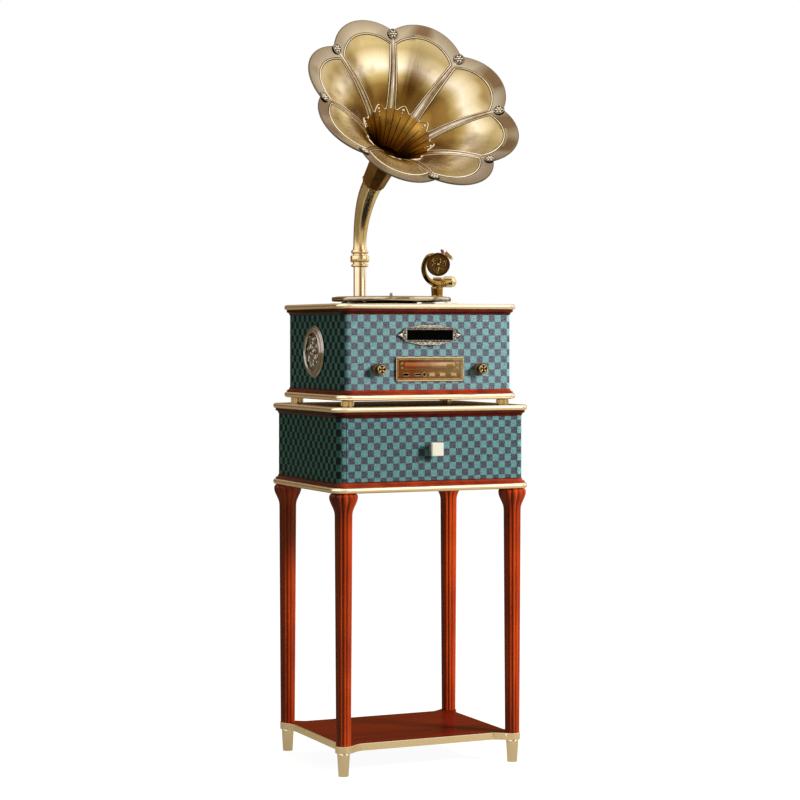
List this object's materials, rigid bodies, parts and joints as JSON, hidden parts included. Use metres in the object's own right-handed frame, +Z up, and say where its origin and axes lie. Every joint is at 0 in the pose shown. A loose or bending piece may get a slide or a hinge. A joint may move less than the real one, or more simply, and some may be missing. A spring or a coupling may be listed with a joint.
{
  "type": "record player",
  "caption": "Horn gramophone style record player: turntable cabinet with a petalled brass horn on a one-drawer cabinet with tall reeded legs and a low shelf.",
  "frame": {"origin": "on the floor under the middle of the cabinets and the four legs", "axes": "+Z up, front with drawer and controls towards -Y, tone arm side towards +X"},
  "size_m": [0.5297, 0.5203, 1.7229],
  "materials": {
    "trim_gold": "satin gold",
    "antique_brass": "dark antique",
    "horn_brass": "brushed antique satin",
    "polished_brass": "polished",
    "silver_scroll": "polished silver relief",
    "platter_metal": "brushed",
    "steel": "plain",
    "mahogany": "gloss lacquer",
    "dark_mahogany": "gloss lacquer",
    "leather_checker": "two-tone checker, fine grain",
    "drawer_wood": "plain varnish",
    "deck_black": "black gloss lacquer",
    "cream_enamel": "satin enamel",
    "black_plastic": "fine texture",
    "mat_felt": "ribbed rubber",
    "belt_rubber": "plain",
    "window_black": "gloss",
    "stylus_red": "gloss",
    "board_green": "plain"
  },
  "bodies": {
    "cabinet": {"foot_ferrules": "polished_brass", "shelf_board": "mahogany", "shelf_edge_band": "trim_gold", "leg_front_left": "mahogany", "leg_front_right": "mahogany", "leg_back_left": "mahogany", "leg_back_right": "mahogany", "leg_bolts": "steel", "lower_base_trim": "trim_gold", "lower_base_cove": "dark_mahogany", "lower_bottom_board": "dark_mahogany", "lower_case": "leather_checker", "lower_top_cove": "dark_mahogany", "lower_top_trim": "trim_gold", "lower_top_board": "deck_black", "drawer_runners": "steel", "cabinet_feet": "polished_brass", "upper_base_trim": "trim_gold", "upper_base_cove": "dark_mahogany", "upper_bottom_board": "dark_mahogany", "upper_case": "leather_checker", "front_panel": "leather_checker", "upper_top_cove": "dark_mahogany", "upper_top_trim": "trim_gold", "deck_board": "deck_black", "back_panel": "black_plastic", "display_frame": "silver_scroll", "display_window": "window_black", "control_plate": "polished_brass", "control_board": "board_green", "left_medallion": "silver_scroll", "right_medallion": "silver_scroll", "speaker_drivers": "black_plastic", "motor": "steel", "drive_belt": "belt_rubber", "bearing_housing": "polished_brass", "tonearm_base": "cream_enamel", "horn_pipe": "horn_brass"},
    "drawer": {"drawer_front": "leather_checker", "drawer_box": "drawer_wood", "drawer_knob": "cream_enamel"},
    "source_button": {"button_source": "polished_brass"},
    "play_button": {"button_play": "polished_brass"},
    "next_button": {"button_next": "polished_brass"},
    "volume_knob": {"volume_knob": "polished_brass"},
    "tuning_knob": {"tuning_knob": "polished_brass"},
    "turntable": {"spindle": "steel", "platter": "platter_metal", "platter_mat": "mat_felt"},
    "motor_shaft": {"motor_pulley": "polished_brass"},
    "speed_lever": {"speed_lever": "black_plastic"},
    "arm_post": {"tonearm_post": "antique_brass"},
    "arm": {"tonearm_tube": "antique_brass"},
    "sound_head": {"soundbox": "antique_brass", "cartridge": "black_plastic", "stylus": "stylus_red"},
    "horn": {"horn_elbow": "horn_brass", "horn_collar": "antique_brass", "horn_bell": "horn_brass", "horn_rosettes": "silver_scroll"}
  },
  "joints": [
    {"name": "drawer_slide", "type": "slide", "parent": "cabinet", "child": "drawer", "axis": [0, -1, 0], "range_m": [0, 0.22]},
    {"name": "source_press", "type": "slide", "parent": "cabinet", "child": "source_button", "axis": [0, 1, 0], "range_m": [0, 0.0015], "stiffness_N_per_m": 400},
    {"name": "play_press", "type": "slide", "parent": "cabinet", "child": "play_button", "axis": [0, 1, 0], "range_m": [0, 0.0015], "stiffness_N_per_m": 400},
    {"name": "next_press", "type": "slide", "parent": "cabinet", "child": "next_button", "axis": [0, 1, 0], "range_m": [0, 0.0015], "stiffness_N_per_m": 400},
    {"name": "volume_turn", "type": "hinge", "parent": "cabinet", "child": "volume_knob", "pos_m": [-0.1275, -0.171, 0.91225], "axis": [0, -1, 0], "range_deg": [-150, 150]},
    {"name": "tuning_turn", "type": "hinge", "parent": "cabinet", "child": "tuning_knob", "pos_m": [0.1275, -0.171, 0.91225], "axis": [0, -1, 0], "range_deg": [-150, 150]},
    {"name": "platter_spin", "type": "hinge", "parent": "cabinet", "child": "turntable", "pos_m": [-0.028, -0.02, 1.0615], "axis": [0, 0, 1], "continuous": true},
    {"name": "motor_spin", "type": "hinge", "parent": "cabinet", "child": "motor_shaft", "pos_m": [-0.11479, 0.05545, 1.0615], "axis": [0, 0, 1], "continuous": true},
    {"name": "speed_select", "type": "hinge", "parent": "cabinet", "child": "speed_lever", "pos_m": [0.159, 0.075, 1.0615], "axis": [0, 0, 1], "range_deg": [-25, 25]},
    {"name": "arm_swing", "type": "hinge", "parent": "cabinet", "child": "arm_post", "pos_m": [0.15, 0.105, 1.0615], "axis": [0, 0, 1], "range_deg": [-18, 30]},
    {"name": "arm_lift", "type": "hinge", "parent": "arm_post", "child": "arm", "pos_m": [0.15, 0.105, 1.119], "axis": [-0.9114, 0.4115, 0], "range_deg": [-13, 12]},
    {"name": "head_turn", "type": "hinge", "parent": "arm", "child": "sound_head", "pos_m": [0.08498, -0.039, 1.156], "axis": [-0.4115, -0.9114, 0], "range_deg": [-161, 19]},
    {"name": "horn_turn", "type": "hinge", "parent": "cabinet", "child": "horn", "pos_m": [-0.036, 0.147, 1.17], "axis": [0, 0, 1], "range_deg": [-90, 90]}
  ],
  "couplings": [
    {"joint": "motor_spin", "follows": "platter_spin", "ratio": 10}
  ]
}
